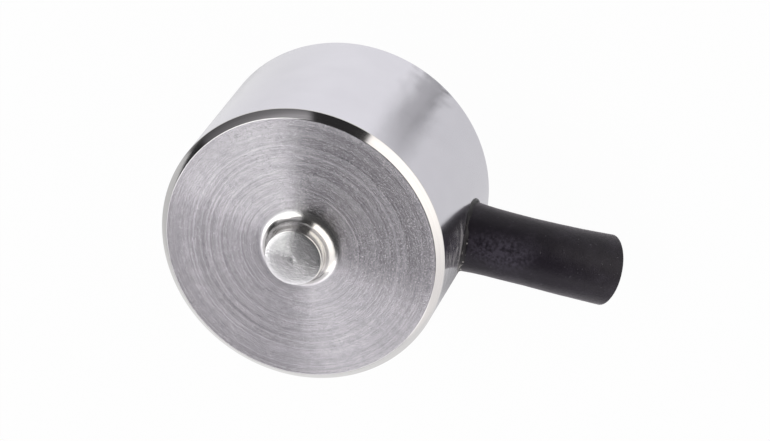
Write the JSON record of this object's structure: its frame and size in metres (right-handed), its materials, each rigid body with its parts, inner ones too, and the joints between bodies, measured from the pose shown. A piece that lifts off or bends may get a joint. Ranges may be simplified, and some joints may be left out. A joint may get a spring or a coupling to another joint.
{
  "type": "miniature load cell",
  "caption": "Turned stainless button load cell: a round body with a load button on its face, a closed back and a short flexible lead from its side.",
  "frame": {"origin": "centre of the seating rim, on the plane that the body stands on", "axes": "+Z along the load axis towards the button, +X where the lead leaves the body"},
  "size_m": [0.0185, 0.012, 0.0088],
  "materials": {
    "turned_steel": "fine turned stainless, satin on the side",
    "cover_steel": "ground stainless",
    "sleeve_rubber": "matte, slightly dusty",
    "seal_resin": "dark glossy resin",
    "board_laminate": "glass laminate with solder mask",
    "gauge_film": "amber film with foil grid",
    "copper": "bare copper",
    "solder": "bright solder",
    "chip_ceramic": "black glaze on ceramic",
    "anchor_brass": "crimped brass",
    "lead_jacket": "extruded jacket",
    "lead_shield": "tinned braid",
    "wire_red": "extruded insulation",
    "wire_black": "extruded insulation",
    "wire_green": "extruded insulation",
    "wire_white": "extruded insulation"
  },
  "bodies": {
    "root": {"sensing_body": "turned_steel", "back_cover": "cover_steel", "strain_relief_sleeve": "sleeve_rubber", "exit_seal": "seal_resin", "terminal_board": "board_laminate", "solder_joints": "solder", "anchor_ring": "anchor_brass", "lead_jacket": "lead_jacket", "lead_shield": "lead_shield", "strain_gauge_1": "gauge_film", "gauge_wires_1": "copper", "strain_gauge_2": "gauge_film", "gauge_wires_2": "copper", "strain_gauge_3": "gauge_film", "gauge_wires_3": "copper", "strain_gauge_4": "gauge_film", "gauge_wires_4": "copper", "zero_balance_resistor": "chip_ceramic", "zero_drift_resistor": "chip_ceramic", "span_resistor_1": "chip_ceramic", "span_resistor_2": "chip_ceramic", "red_wire": "wire_red", "black_wire": "wire_black", "green_wire": "wire_green", "white_wire": "wire_white"}
  },
  "joints": []
}
